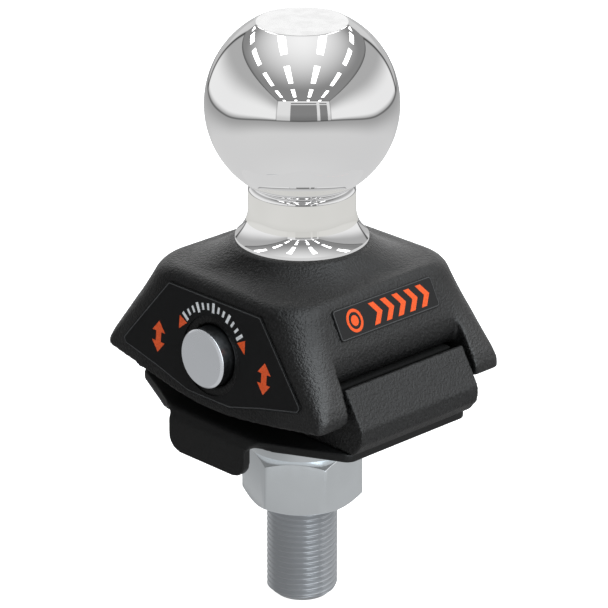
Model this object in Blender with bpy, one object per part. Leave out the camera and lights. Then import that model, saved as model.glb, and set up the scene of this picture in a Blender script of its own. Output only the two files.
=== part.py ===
"""Cushioned rocking trailer hitch ball, at real size (metres, +Z up).

A chromed ball is screwed into a black cast rocker housing. The housing rocks
fore and aft (about Y) on a steel pivot pin that runs through a base casting,
against two rubber cushions that sit between the housing's end walls and the
pockets in the base. A threaded stud hangs from the base, with a lock washer
and a hex nut on it, and a plate with two bent tabs lies under the base to keep
it from turning on the ball mount.

Origin: centre of the stud's lower end. +X is the rocking direction, +Y runs
along the pivot pin. Left is -X and front is -Y. All sizes below are in
millimetres, and heights are measured from the underside of the plate, which is
the face that rests on the ball mount.
"""

import math

import bmesh
import bpy
from mathutils import Matrix, Vector

MM = 0.001
SIDES_X = (("left", -1), ("right", 1))
SIDES_Y = (("front", -1), ("rear", 1))

# --- dimensions shared between pieces ----------------------------------------
GAP = 0.3  # running gap left between neighbouring solids
ROUND_STEPS = 40  # facets on the large round pieces

BALL_STUD_R = 8.0  # stud under the ball, screwed into the housing

SHANK_R = 9.525  # 3/4 in stud
SHANK_LEN = 56.6  # from the plate's underside to the stud's lower end

PIN_R = 7.94  # 5/8 in pin
PIN_Z = 21.4
BUSH_R = 9.3

BASE_HALF_Y = 21.6
BARREL_R = 13.4  # base barrel round the pin
DOWEL_X = 28.0
DOWEL_R = 3.0
DOWEL_STEPS = 20

SIDE_Y = 32.6  # housing side face at the height of the pin
SIDE_DRAFT = 0.0875  # sideways run for each unit of height
INNER_Y = 22.8  # inner side of the housing's side plates
END_X, END_Z = 33.1, 30.2  # where the housing's straight end slope starts
END_SLOPE = 0.53  # inward run for each unit of height
LIP_Z = 19.5  # underside of the housing's end walls

NUT_TOP = -12.6
WASHER_LOW = NUT_TOP + GAP


def side_y(z):
    """Half width of the housing at a height."""
    return SIDE_Y + (PIN_Z - z) * SIDE_DRAFT


def end_x(z):
    """Half length of the housing on its sloping ends."""
    return END_X - (z - END_Z) * END_SLOPE


# --- scene and materials -----------------------------------------------------
for old in list(bpy.data.objects):
    bpy.data.objects.remove(old, do_unlink=True)

MODEL = bpy.context.scene.collection


def finish(name, colour, roughness, metallic=0.0):
    material = bpy.data.materials.new(name)
    material.use_nodes = True
    shader = material.node_tree.nodes["Principled BSDF"]
    shader.inputs["Base Color"].default_value = (*colour, 1.0)
    shader.inputs["Roughness"].default_value = roughness
    shader.inputs["Metallic"].default_value = metallic
    material.diffuse_color = (*colour, 1.0)
    return material


CHROME = finish("chrome", colour=(0.80, 0.81, 0.82), roughness=0.06, metallic=1.0)
CAST_BLACK = finish("cast_black", colour=(0.022, 0.022, 0.024), roughness=0.55)
SHEET_BLACK = finish("sheet_black", colour=(0.020, 0.020, 0.022), roughness=0.45)
ZINC = finish("zinc", colour=(0.66, 0.67, 0.68), roughness=0.28, metallic=1.0)
PIN_STEEL = finish("pin_steel", colour=(0.62, 0.62, 0.63), roughness=0.22, metallic=1.0)
BRONZE = finish("bronze", colour=(0.48, 0.31, 0.13), roughness=0.40, metallic=1.0)
RUBBER = finish("rubber", colour=(0.015, 0.015, 0.016), roughness=0.85)
LABEL = finish("label", colour=(0.030, 0.030, 0.032), roughness=0.35)


# --- frames: each moving group hangs from an empty on its own axis -----------
def frame(name, z, parent=None):
    """An empty on the Z axis that keeps its world position as "home"."""
    empty = bpy.data.objects.new(name, None)
    MODEL.objects.link(empty)
    empty.empty_display_size = 0.01
    world = Vector((0, 0, z + SHANK_LEN)) * MM
    empty["home"] = tuple(world)
    if parent is None:
        empty.location = world
    else:
        empty.parent = parent
        empty.location = world - Vector(parent["home"])
    return empty


BASE = frame("base_frame", 0)
ROCKER = frame("rocker_axis", PIN_Z, BASE)
WASHER = frame("washer_axis", WASHER_LOW, BASE)
NUT = frame("nut_axis", NUT_TOP, WASHER)


# --- placing and cutting -----------------------------------------------------
def place(name, shape, material, parent, sharp=32.0):
    """Turns a shape given in millimetres over the plate into an object under its frame."""
    home = Vector(parent["home"])
    for vert in shape.verts:
        vert.co = (vert.co + Vector((0, 0, SHANK_LEN))) * MM - home
    bmesh.ops.recalc_face_normals(shape, faces=shape.faces)
    mesh = bpy.data.meshes.new(name)
    shape.to_mesh(mesh)
    shape.free()
    mesh.shade_smooth()
    mesh.set_sharp_from_angle(angle=math.radians(sharp))
    mesh.materials.append(material)
    obj = bpy.data.objects.new(name, mesh)
    MODEL.objects.link(obj)
    obj.parent = parent
    return obj


def cut(target, name, shape, operation="DIFFERENCE"):
    """Cuts a piece with a hidden helper that shares its material and frame."""
    cutter = place(name, shape, target.data.materials[0], target.parent)
    cutter.hide_render = True
    cutter.display_type = "WIRE"
    modifier = target.modifiers.new(name, "BOOLEAN")
    modifier.operation = operation
    modifier.solver = "EXACT"
    modifier.object = cutter


# --- outlines ----------------------------------------------------------------
def arc(centre_x, centre_y, radius, start, end, steps):
    """Points on an arc between two angles in degrees, both ends included."""
    points = []
    for k in range(steps + 1):
        angle = math.radians(start + (end - start) * k / steps)
        points.append(
            (centre_x + radius * math.cos(angle), centre_y + radius * math.sin(angle))
        )
    return points


def filleted(corners, steps=4):
    """A closed outline from (x, y, radius) corners, each rounded by its radius."""
    outline = []
    count = len(corners)
    for k, (x, y, radius) in enumerate(corners):
        here = Vector((x, y))
        if radius <= 0:
            outline.append((x, y))
            continue
        before = (Vector(corners[k - 1][:2]) - here).normalized()
        after = (Vector(corners[(k + 1) % count][:2]) - here).normalized()
        half = before.angle(after) / 2
        reach = radius / math.tan(half)
        centre = here + (before + after).normalized() * radius / math.sin(half)
        start = here + before * reach - centre
        end = here + after * reach - centre
        turn = start.angle_signed(end)
        for j in range(steps + 1):
            spoke = start.copy()
            spoke.rotate(Matrix.Rotation(-turn * j / steps, 2))
            outline.append(tuple(centre + spoke))
    return outline


def mirrored(half):
    """A closed outline from its +X half, which starts and ends on the centre line."""
    left = [(-x, *rest) for x, *rest in reversed(half) if x > 1e-9]
    return list(half) + left


# --- solids ------------------------------------------------------------------
def skin(shape, low, high):
    """Joins two rings of vertices with faces; a ring of one vertex is a point."""
    count = max(len(low), len(high))
    for k in range(count):
        after = (k + 1) % count
        corners = (
            low[k % len(low)],
            low[after % len(low)],
            high[after % len(high)],
            high[k % len(high)],
        )
        shape.faces.new(list(dict.fromkeys(corners)))  # a repeated point makes a triangle


def turned(profile, steps=ROUND_STEPS, along="Z", centre=(0.0, 0.0, 0.0), closed=False):
    """Revolves (radius, height) points; a radius of 0 closes the end on the axis."""
    shape = bmesh.new()
    rings = []
    for radius, height in profile:
        ring = []
        for k in range(1 if radius == 0 else steps):
            angle = 2 * math.pi * k / steps
            x, y = radius * math.cos(angle), radius * math.sin(angle)
            point = (x, y, height) if along == "Z" else (x, height, y)
            ring.append(shape.verts.new(Vector(point) + Vector(centre)))
        rings.append(ring)
    pairs = list(zip(rings, rings[1:]))
    if closed:
        pairs.append((rings[-1], rings[0]))
    for low, high in pairs:
        skin(shape, low, high)
    return shape


def tube(inner, outer, low, high, chamfer=0.3, **placing):
    profile = [
        (inner, low + chamfer),
        (inner + chamfer, low),
        (outer - chamfer, low),
        (outer, low + chamfer),
        (outer, high - chamfer),
        (outer - chamfer, high),
        (inner + chamfer, high),
        (inner, high - chamfer),
    ]
    return turned(profile, closed=True, **placing)


def rod(radius, low, high, chamfer=0.5, **placing):
    profile = [
        (0, low),
        (radius - chamfer, low),
        (radius, low + chamfer),
        (radius, high - chamfer),
        (radius - chamfer, high),
        (0, high),
    ]
    return turned(profile, **placing)


def prism(outline, low, high, along="Z"):
    """Extrudes a closed outline. Along Z it holds (x, y); along Y it holds (x, z)."""
    shape = bmesh.new()

    def ring(height):
        return [
            shape.verts.new((p, q, height) if along == "Z" else (p, height, q))
            for p, q in outline
        ]

    first, last = ring(low), ring(high)
    shape.faces.new(first)
    shape.faces.new(list(reversed(last)))
    skin(shape, first, last)
    return shape


AT_PIN = {"along": "Y", "centre": (0, 0, PIN_Z)}


def dowel_rod(radius, low, high, sign):
    return rod(radius, low, high, steps=DOWEL_STEPS, centre=(sign * DOWEL_X, 0, 0))


# --- hitch ball: flat-topped ball, neck, flare and threaded stud -------------
BALL_R = 25.4  # 2 in ball
BALL_Z = 82.4
TOP_FLAT_R = 12.4
TOP_RISE, TOP_BEVEL = 0.12, 0.5  # low step at the rim of the flat top
NECK_R = 14.2
NECK_FILLET = 3.0  # between the neck and the ball
FLARE_R = 17.6
FLARE_Z = 45.6  # lower face of the flare
FLARE_CHAMFER = 0.3
FLARE_RIM = 0.9  # height of the flare's rim, chamfer included
FLARE_SWEEP_R = 10.3
BALL_STUD_Z = 36.0
BALL_STUD_CHAMFER = 0.8


def ball_profile():
    rim_z = FLARE_Z + FLARE_RIM
    points = [
        (0, BALL_STUD_Z),
        (BALL_STUD_R - BALL_STUD_CHAMFER, BALL_STUD_Z),
        (BALL_STUD_R, BALL_STUD_Z + BALL_STUD_CHAMFER),
        (BALL_STUD_R, FLARE_Z),
        (FLARE_R - FLARE_CHAMFER, FLARE_Z),
        (FLARE_R, FLARE_Z + FLARE_CHAMFER),
        (FLARE_R, rim_z),
    ]
    # concave flare, an arc that ends upright at the neck
    sweep = math.acos(1 - (FLARE_R - NECK_R) / FLARE_SWEEP_R)
    neck_z = rim_z + FLARE_SWEEP_R * math.sin(sweep)
    flare_x = NECK_R + FLARE_SWEEP_R
    points += arc(flare_x, neck_z, FLARE_SWEEP_R, 180 + math.degrees(sweep), 180, 6)[1:]
    # fillet, tangent to the neck and to the ball
    fillet_x = NECK_R + NECK_FILLET
    drop = math.sqrt((BALL_R + NECK_FILLET) ** 2 - fillet_x**2)
    meet = math.degrees(math.atan2(drop, -fillet_x))
    points += arc(fillet_x, BALL_Z - drop, NECK_FILLET, 180, meet, 4)[:-1]
    # ball, up to its flat top
    start = math.degrees(math.atan2(-drop, fillet_x))
    end = math.acos(TOP_FLAT_R / BALL_R)
    points += arc(0, BALL_Z, BALL_R, start, math.degrees(end), 18)
    top = BALL_Z + BALL_R * math.sin(end) + TOP_RISE
    return points + [(TOP_FLAT_R - TOP_BEVEL, top), (0, top)]


place("hitch_ball", turned(ball_profile()), CHROME, ROCKER)

# --- rocker housing ----------------------------------------------------------
PLATEAU_Z = 40.2
ROUND_OVER = 4.2  # rounding of the upper side edges
BOSS_R = 18.2
BOSS_Z = 45.3
BOSS_BEVEL_R, BOSS_BEVEL_H = 0.3, 0.5
PLATEAU_RISE = 0.3  # even part of the rise from the plateau to the boss
BOSS_CURVE = 2.4  # exponent of the steepening part
CORNER_STEPS = 6

HOUSING_LEVELS = [  # height, half length, radius of the upright corner
    (3.0, 41.2, 3.0), (14.4, 41.2, 3.0), (17.0, 40.4, 4.2), (21.3, 38.2, 6.2),
    (27.0, 34.9, 8.0), (END_Z, END_X, 9.3), (33.4, end_x(33.4), 10.2),
]
ROUND_OVER_HALF_X = (30.0, 29.15, 28.3, 27.5, 26.3)  # one level every 22.5 degrees

# How far the cutting outlines run past the housing
CLEAR_X, CLEAR_Z, CLEAR_Y = 60.0, -9.0, 45

CAVITY_END = [  # x, z of the roof and the end wall's inner face
    (22.6, 33.2), (24.2, 32.0), (31.2, 21.6), (31.2, LIP_Z),
]
SLOT_END = [  # x, z of the hollow in the end wall
    (33.4, 19.9), (34.1, 20.8), (34.7, 22.3), (34.9, 24.2),
    (34.7, 26.3), (34.2, 28.0), (33.45, 29.4), (CLEAR_X, 29.4),
]
UNDERSIDE = [  # x, z along the lower edge of the side plates, from +X to -X
    (33.0, 10.4), (25.0, 9.0), (18.0, 8.0), (12.0, 7.2), (6.0, 6.7), (0.0, 6.6),
    (-6.0, 6.9), (-12.0, 7.7), (-18.0, 8.9), (-24.0, 10.05), (-33.0, 11.7),
]
UNDERSIDE_END = (41.9, 16.6)  # x, z where the lower edge's rounded ends run out


def rounded_section(half_x, half_y, radius):
    """A rounded rectangle, each corner an arc of CORNER_STEPS."""
    points = []
    for quadrant, (sign_x, sign_y) in enumerate(((1, 1), (-1, 1), (-1, -1), (1, -1))):
        centre = sign_x * (half_x - radius), sign_y * (half_y - radius)
        points += arc(*centre, radius, 90 * quadrant, 90 * quadrant + 90, CORNER_STEPS)
    return points


def boss_directions():
    """Unit (x, y) on the boss for each point of a section, evenly spread."""
    spacing = 90 / (CORNER_STEPS + 1)
    reach = spacing * CORNER_STEPS / 2
    directions = []
    for quadrant in range(4):
        middle = 90 * quadrant + 45
        directions += arc(0, 0, 1, middle - reach, middle + reach, CORNER_STEPS)
    return directions


def housing_body():
    levels = [(z, half_x, side_y(z), radius) for z, half_x, radius in HOUSING_LEVELS]
    round_z = PLATEAU_Z - ROUND_OVER
    for k, half_x in enumerate(ROUND_OVER_HALF_X):
        angle = math.radians(22.5 * k)
        half_y = side_y(round_z) - ROUND_OVER * (1 - math.cos(angle))
        levels.append((round_z + ROUND_OVER * math.sin(angle), half_x, half_y, 10.8 + 0.1 * k))
    shape = bmesh.new()
    rings = []
    for z, half_x, half_y, radius in levels:
        edge = rounded_section(half_x, half_y, radius)
        rings.append([shape.verts.new((x, y, z)) for x, y in edge])
    # the top rises from the last section's edge to a round boss under the ball
    directions = boss_directions()
    outer_r = BOSS_R + BOSS_BEVEL_R
    rise = BOSS_Z - PLATEAU_Z - BOSS_BEVEL_H
    for share in (0.3, 0.55, 0.75, 0.9, 1.0):
        z = PLATEAU_Z + PLATEAU_RISE * share + rise * share**BOSS_CURVE
        ring = []
        for (x, y), (boss_x, boss_y) in zip(edge, directions):
            ring.append(
                shape.verts.new(
                    (x + (outer_r * boss_x - x) * share, y + (outer_r * boss_y - y) * share, z)
                )
            )
        rings.append(ring)
    rings.append([shape.verts.new((BOSS_R * x, BOSS_R * y, BOSS_Z)) for x, y in directions])
    for low, high in zip(rings, rings[1:]):
        skin(shape, low, high)
    shape.faces.new(list(reversed(rings[0])))
    shape.faces.new(rings[-1])
    return shape


def housing_cavity():
    """Everything between the two side plates, under the roof and the end walls."""
    roof_r = BARREL_R + 0.7
    half = [(0.0, PIN_Z + roof_r), *arc(0, PIN_Z, roof_r, 78, 66, 2), *CAVITY_END]
    half += [(CLEAR_X, LIP_Z), (CLEAR_X, CLEAR_Z), (0.0, CLEAR_Z)]
    return prism(mirrored(half), -INNER_Y, INNER_Y, "Y")


def drafted_slot():
    """Opens the ends under the end walls and hollows each wall, with drafted side walls."""
    low_z = LIP_Z - 0.05
    half = [(0.0, low_z), (32.6, low_z), *SLOT_END, (CLEAR_X, CLEAR_Z), (0.0, CLEAR_Z)]
    shape = prism(mirrored(half), -1, 1, "Y")
    for vert in shape.verts:
        vert.co.y *= INNER_Y + (PIN_Z - vert.co.z) * SIDE_DRAFT
    return shape


def housing_underside():
    """The curved lower edge of the side plates, with rounded ends."""
    x, z = UNDERSIDE_END
    outline = [(CLEAR_X, CLEAR_Z), (CLEAR_X, z), (x, z)]
    outline += arc(39.7, 12.8, 1.55, 0, -82, 4)
    outline += UNDERSIDE
    outline += arc(-38.3, 15.8, 2.95, 270, 182, 5)
    outline += [(-x, z), (-CLEAR_X, z), (-CLEAR_X, CLEAR_Z)]
    return prism(outline, -CLEAR_Y, CLEAR_Y, "Y")


housing = place("rocker_housing", housing_body(), CAST_BLACK, ROCKER)
cut(housing, "cut_cavity", housing_cavity())
cut(housing, "cut_underside", housing_underside())
cut(housing, "cut_slot", drafted_slot())
cut(housing, "cut_pin", rod(PIN_R + GAP, low=-50, high=50, **AT_PIN))
cut(housing, "cut_stud", rod(BALL_STUD_R + GAP, low=30, high=60))

# --- pivot: pin, bushings and thrust washers ---------------------------------
PIN_HALF = 36.4
PIN_CHAMFER = 0.9
BUSH_START_Y = 1.5
BUSH_INSET = 0.1  # bushing end inside the base's face
THRUST_R = 12.4
THRUST_GAP = 0.25  # on both faces of each thrust washer
THRUST_CHAMFER = 0.12


def pin_tube(name, outer, near, far, sign, chamfer):
    """A bronze tube round the pin, between two distances out from the middle."""
    low, high = sorted((sign * near, sign * far))
    shape = tube(PIN_R + GAP, outer, low, high, chamfer, **AT_PIN)
    place(name, shape, BRONZE, BASE)


place("pivot_pin", rod(PIN_R, -PIN_HALF, PIN_HALF, PIN_CHAMFER, **AT_PIN), PIN_STEEL, ROCKER)
for side, sign in SIDES_Y:
    pin_tube(
        "pivot_bushing_" + side, BUSH_R, BUSH_START_Y, BASE_HALF_Y - BUSH_INSET, sign, chamfer=0.3
    )
    pin_tube(
        "thrust_washer_" + side,
        THRUST_R,
        BASE_HALF_Y + THRUST_GAP,
        INNER_Y - THRUST_GAP,
        sign,
        THRUST_CHAMFER,
    )

# --- base casting and its dowels ---------------------------------------------
POCKET_X, POCKET_Z = 33.9, 8.5  # outer wall and floor of the cushion pockets
BASE_BOTTOM = 2.7

BASE_CORNERS = [  # x, z, corner radius of the +X half, up to the barrel's side
    (0.0, BASE_BOTTOM, 0), (41.0, BASE_BOTTOM, 0.6), (44.0, 6.2, 2.0), (44.0, 10.3, 1.6),
    (38.1, 20.15, 0.7), (37.0, 19.8, 0.5), (POCKET_X, 16.4, 0.5), (POCKET_X, POCKET_Z, 1.0),
    (BARREL_R, POCKET_Z, 1.0), (BARREL_R, PIN_Z, 0),
]


def base_outline():
    barrel = arc(0, PIN_Z, BARREL_R, 0, 90, 10)[1:]
    return mirrored(filleted(BASE_CORNERS) + barrel)


base = place(
    "base_casting", prism(base_outline(), -BASE_HALF_Y, BASE_HALF_Y, "Y"), CAST_BLACK, BASE
)
cut(base, "cut_bushing", rod(BUSH_R + GAP, low=-40, high=40, **AT_PIN))
cut(base, "cut_shank", rod(SHANK_R + GAP, low=-5, high=16))
for side, sign in SIDES_X:
    cut(base, "cut_dowel_" + side, dowel_rod(DOWEL_R + GAP, low=-5, high=6.6, sign=sign))
    place("plate_dowel_" + side, dowel_rod(DOWEL_R, low=0.3, high=6.3, sign=sign), ZINC, BASE)

# --- cushions ----------------------------------------------------------------
CUSHION_HALF_Y = 21.0
CUSHION_INNER_X = BARREL_R + 0.5
CUSHION_LIP_Z = LIP_Z - GAP

# Fills the base's pocket, laps over its outer wall and reaches up under the end wall
CUSHION_CORNERS = [  # x, z, corner radius
    (CUSHION_INNER_X, 8.85, 1.0), (33.5, 8.85, 1.0), (33.5, 16.8, 0.5),
    (35.7, CUSHION_LIP_Z, 0.3), (30.9, CUSHION_LIP_Z, 0.3), (30.9, 21.2, 0.8),
    (25.1, 30.2, 1.6), (19.4, 32.2, 2.5), (CUSHION_INNER_X, 24.0, 2.0),
]

for side, sign in SIDES_X:
    outline = [(sign * x, z) for x, z in filleted(CUSHION_CORNERS, 3)]
    block = prism(outline, -CUSHION_HALF_Y, CUSHION_HALF_Y, "Y")
    place("cushion_" + side, block, RUBBER, BASE)

# --- mounting stud -----------------------------------------------------------
SHANK_TOP = 11.2
SHANK_TOP_CHAMFER = 1.0
SHANK_CHAMFER = 2.2  # inward run of the lower chamfer
SHANK_CHAMFER_H = SHANK_CHAMFER * 0.9

stud_profile = [
    (0, -SHANK_LEN),
    (SHANK_R - SHANK_CHAMFER, -SHANK_LEN),
    (SHANK_R, -SHANK_LEN + SHANK_CHAMFER_H),
    (SHANK_R, SHANK_TOP - SHANK_TOP_CHAMFER),
    (SHANK_R - SHANK_TOP_CHAMFER, SHANK_TOP),
    (0, SHANK_TOP),
]
place("mounting_stud", turned(stud_profile), ZINC, BASE)

# --- lock washer -------------------------------------------------------------
WASHER_R = 15.2
WASHER_BORE_R = SHANK_R + 0.35
WASHER_T = 3.7
SPLIT_NEAR, SPLIT_FAR = 8.0, 18.0  # radial reach of the split's cutter
SPLIT_HALF = 0.9
SPLIT_HALF_H = 8.0
SPLIT_LEAN = 35  # degrees from upright
SPLIT_TURN = 150  # degrees round from +X


def washer_split():
    """A leaning slab across one side of the washer."""
    shape = prism(
        [
            (SPLIT_NEAR, -SPLIT_HALF),
            (SPLIT_FAR, -SPLIT_HALF),
            (SPLIT_FAR, SPLIT_HALF),
            (SPLIT_NEAR, SPLIT_HALF),
        ],
        -SPLIT_HALF_H,
        SPLIT_HALF_H,
    )
    for degrees, axis in ((SPLIT_LEAN, "X"), (SPLIT_TURN, "Z")):
        turn = Matrix.Rotation(math.radians(degrees), 3, axis)
        bmesh.ops.rotate(shape, cent=(0, 0, 0), matrix=turn, verts=shape.verts)
    bmesh.ops.translate(shape, vec=(0, 0, WASHER_LOW + WASHER_T / 2), verts=shape.verts)
    return shape


washer_ring = tube(WASHER_BORE_R, WASHER_R, WASHER_LOW, WASHER_LOW + WASHER_T, chamfer=0.25)
washer = place("lock_washer", washer_ring, ZINC, WASHER)
cut(washer, "cut_split", washer_split())

# --- hex nut -----------------------------------------------------------------
NUT_FLATS = 28.3  # across the flats
NUT_CORNER_R = NUT_FLATS / math.sqrt(3)
NUT_H = 16.1
NUT_LOW = NUT_TOP - NUT_H
NUT_TURN = -21.7  # degrees
NUT_TOP_FACE_R = NUT_FLATS / 2 - 1.6  # flat faces inside the chamfers
NUT_LOW_FACE_R = NUT_FLATS / 2 - 0.8


def nut_chamfers():
    """A turned envelope with 30 degree cones that take off the nut's corners."""
    slope = math.tan(math.radians(30))
    over = 0.5  # the cones run on past the nut's faces
    outer = NUT_CORNER_R + 1.0
    profile = [
        (0, NUT_LOW - over),
        (NUT_LOW_FACE_R - over / slope, NUT_LOW - over),
        (outer, NUT_LOW + (outer - NUT_LOW_FACE_R) * slope),
        (outer, NUT_TOP - (outer - NUT_TOP_FACE_R) * slope),
        (NUT_TOP_FACE_R - over / slope, NUT_TOP + over),
        (0, NUT_TOP + over),
    ]
    return turned(profile, steps=60)


hexagon = arc(0, 0, NUT_CORNER_R, NUT_TURN, NUT_TURN + 300, 5)
nut = place("hex_nut", prism(hexagon, NUT_LOW, NUT_TOP), ZINC, NUT, sharp=20.0)
cut(nut, "keep_chamfers", nut_chamfers(), "INTERSECT")
cut(nut, "cut_nut_bore", rod(SHANK_R + GAP, low=-60, high=10))

# --- anti-rotation plate -----------------------------------------------------
PLATE_T = 2.4
PLATE_X = 39.7
PLATE_Y = 34.1
PLATE_CORNER_Y = 21.2  # where the diagonal edges meet the ends
PLATE_CORNER_R = 3.4
PLATE_RAKE = 0.507  # Y run of the diagonal edges for each unit along X
BEND_R = 3.2  # outer radius of each bend
BEND_Y = PLATE_Y - BEND_R  # where the bends start
TAB_NEAR, TAB_FAR = 13.5, 15.5  # each tab's two side edges, from the centre line
TAB_BOTTOM = -9.2
TAB_CORNER_R = 4.6  # rounded lower corners
TAB_STEPS = 5  # in the bend and in the corners


def diagonal_x(y):
    return PLATE_X - (y - PLATE_CORNER_Y) / PLATE_RAKE


def tab_stations(sign):
    """Outer y, z, inner y, z, and the distances out along +X and -X, down one tab."""
    tab = {sign: TAB_FAR, -sign: TAB_NEAR}
    inner_r = BEND_R - PLATE_T
    stations = []
    for k in range(1, TAB_STEPS + 1):  # round the bend, where the diagonals still run on
        angle = math.radians(90 / TAB_STEPS * k)
        across, down = math.sin(angle), 1 - math.cos(angle)
        outer_y = BEND_Y + BEND_R * across
        if k == TAB_STEPS:
            widths = tab
        else:
            widths = {end: max(tab[end], diagonal_x(outer_y)) for end in (1, -1)}
        outer_z = PLATE_T - BEND_R * down
        stations.append((outer_y, outer_z, BEND_Y + inner_r * across, -inner_r * down, widths))
    for k in range(TAB_STEPS + 1):
        angle = math.radians(90 / TAB_STEPS * k)
        z = TAB_BOTTOM + TAB_CORNER_R * (1 - math.sin(angle))
        widths = {end: tab[end] - TAB_CORNER_R * (1 - math.cos(angle)) for end in (1, -1)}
        stations.append((PLATE_Y, z, PLATE_Y - PLATE_T, z, widths))
    return stations


def add_tab(shape, ring, sign):
    """Bends a tab down from the ring of four vertices on an open edge."""
    first = 1 if ring[0].co.x > 0 else -1
    for outer_y, outer_z, inner_y, inner_z, widths in tab_stations(sign):
        start_x, end_x = first * widths[first], -first * widths[-first]
        following = [
            shape.verts.new((start_x, sign * outer_y, outer_z)),
            shape.verts.new((end_x, sign * outer_y, outer_z)),
            shape.verts.new((end_x, sign * inner_y, inner_z)),
            shape.verts.new((start_x, sign * inner_y, inner_z)),
        ]
        skin(shape, ring, following)
        ring = following
    shape.faces.new(ring)


def plate_shape():
    """One sheet: an octagon with a tab bent down along its +Y and -Y edges."""
    corners = [
        (PLATE_X, 0.0, 0),
        (PLATE_X, PLATE_CORNER_Y, PLATE_CORNER_R),
        (diagonal_x(BEND_Y), BEND_Y, 0),
    ]
    upper = filleted(corners)
    upper += [(-x, y) for x, y in reversed(upper)]
    outline = upper[:-1] + [(x, -y) for x, y in reversed(upper)][:-1]
    shape = bmesh.new()
    top = [shape.verts.new((x, y, PLATE_T)) for x, y in outline]
    low = [shape.verts.new((x, y, 0.0)) for x, y in outline]
    shape.faces.new(top)
    shape.faces.new(list(reversed(low)))
    for k, (_, y) in enumerate(outline):
        after = (k + 1) % len(outline)
        next_y = outline[after][1]
        if abs(abs(y) - BEND_Y) < 1e-6 and abs(abs(next_y) - BEND_Y) < 1e-6:
            add_tab(shape, (top[k], top[after], low[after], low[k]), 1 if y > 0 else -1)
        else:
            shape.faces.new((top[k], low[k], low[after], top[after]))
    return shape


plate = place("anti_rotation_plate", plate_shape(), SHEET_BLACK, BASE)
cut(plate, "cut_plate_bore", rod(SHANK_R + 0.4, low=-5, high=6))
for side, sign in SIDES_X:
    cut(plate, "cut_plate_dowel_" + side, dowel_rod(DOWEL_R + GAP, low=-5, high=6, sign=sign))

# --- labels ------------------------------------------------------------------
LABEL_T, LABEL_GAP = 0.25, 0.1
LABEL_HOLE_R = 10.6

SIDE_LABEL_CORNERS = [  # x, z, corner radius of the +X half, from the top down
    (17.3, 36.9, 1.2), (33.9, 16.9, 1.2), (32.6, 15.4, 1.5), (19.5, 12.5, 6.0), (8.0, 9.4, 6.0),
]
END_LABEL_CORNERS = [  # y, z, corner radius of the +Y half
    (18.0, 38.0, 1.0), (18.0, 30.5, 1.0),
]


def flat_label(corners):
    """A label laid out in XZ and standing out along Y, before it is laid on its face."""
    return prism(filleted(mirrored(corners), 3), LABEL_GAP, LABEL_GAP + LABEL_T, "Y")


def side_label(sign):
    """A shaped label on the drafted side face."""
    shape = flat_label(SIDE_LABEL_CORNERS)
    for vert in shape.verts:
        x, out, z = vert.co
        vert.co = Vector((x, sign * (side_y(z) + out), z + out * SIDE_DRAFT))
    return shape


def end_label(sign):
    """A rounded rectangle on the sloping end wall."""
    shape = flat_label(END_LABEL_CORNERS)
    for vert in shape.verts:
        y, out, z = vert.co
        vert.co = Vector((sign * (end_x(z) + out), sign * y, z + out * END_SLOPE))
    return shape


for side, sign in SIDES_Y:
    label = place("side_label_" + side, side_label(sign), LABEL, ROCKER)
    low, high = sorted((sign * 25.0, sign * 45.0))
    cut(label, "cut_label_" + side, rod(LABEL_HOLE_R, low, high, **AT_PIN))
for side, sign in SIDES_X:
    place("end_label_" + side, end_label(sign), LABEL, ROCKER)
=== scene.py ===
"""A cushioned rocking trailer hitch ball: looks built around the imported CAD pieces.

The ball and its rocker housing tilt on a pin lying along y, over a base casting and
a plate whose tabs bend down at +y and -y; a threaded stud with washer and nut hangs
below along -z. "Front" is -y, "rear" +y, "left" -x and "right" +x.

Lengths are millimetres, with z = 0 on the underside of the anti-rotation plate;
to_row() turns them into metres in the row frame.
"""

import math

import bmesh
import bpy
import numpy as np
from mathutils import Matrix, Vector, noise


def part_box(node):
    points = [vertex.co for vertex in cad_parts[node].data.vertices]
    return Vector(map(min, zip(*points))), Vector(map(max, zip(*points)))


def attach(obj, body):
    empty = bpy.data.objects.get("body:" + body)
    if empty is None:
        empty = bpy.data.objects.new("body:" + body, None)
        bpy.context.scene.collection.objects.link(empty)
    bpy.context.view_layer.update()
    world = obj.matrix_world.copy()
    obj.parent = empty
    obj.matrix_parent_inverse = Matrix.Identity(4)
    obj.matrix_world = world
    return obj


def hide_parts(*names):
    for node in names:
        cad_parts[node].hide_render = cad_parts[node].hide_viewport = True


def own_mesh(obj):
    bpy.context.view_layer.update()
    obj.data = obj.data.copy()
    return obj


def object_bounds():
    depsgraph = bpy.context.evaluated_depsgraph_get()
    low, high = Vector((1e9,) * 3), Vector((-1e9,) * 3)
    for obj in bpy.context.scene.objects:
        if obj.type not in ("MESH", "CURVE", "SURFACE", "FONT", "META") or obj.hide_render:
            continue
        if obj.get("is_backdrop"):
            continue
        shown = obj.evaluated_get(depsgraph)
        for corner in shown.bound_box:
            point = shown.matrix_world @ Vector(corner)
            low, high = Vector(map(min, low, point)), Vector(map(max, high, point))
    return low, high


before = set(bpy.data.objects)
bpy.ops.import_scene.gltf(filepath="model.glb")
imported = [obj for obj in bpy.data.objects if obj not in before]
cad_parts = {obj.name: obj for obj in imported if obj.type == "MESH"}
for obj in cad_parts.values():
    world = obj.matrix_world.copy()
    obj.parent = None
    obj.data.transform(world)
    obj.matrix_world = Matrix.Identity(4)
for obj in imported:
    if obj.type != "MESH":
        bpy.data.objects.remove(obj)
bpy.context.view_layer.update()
MM = 0.001

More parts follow.
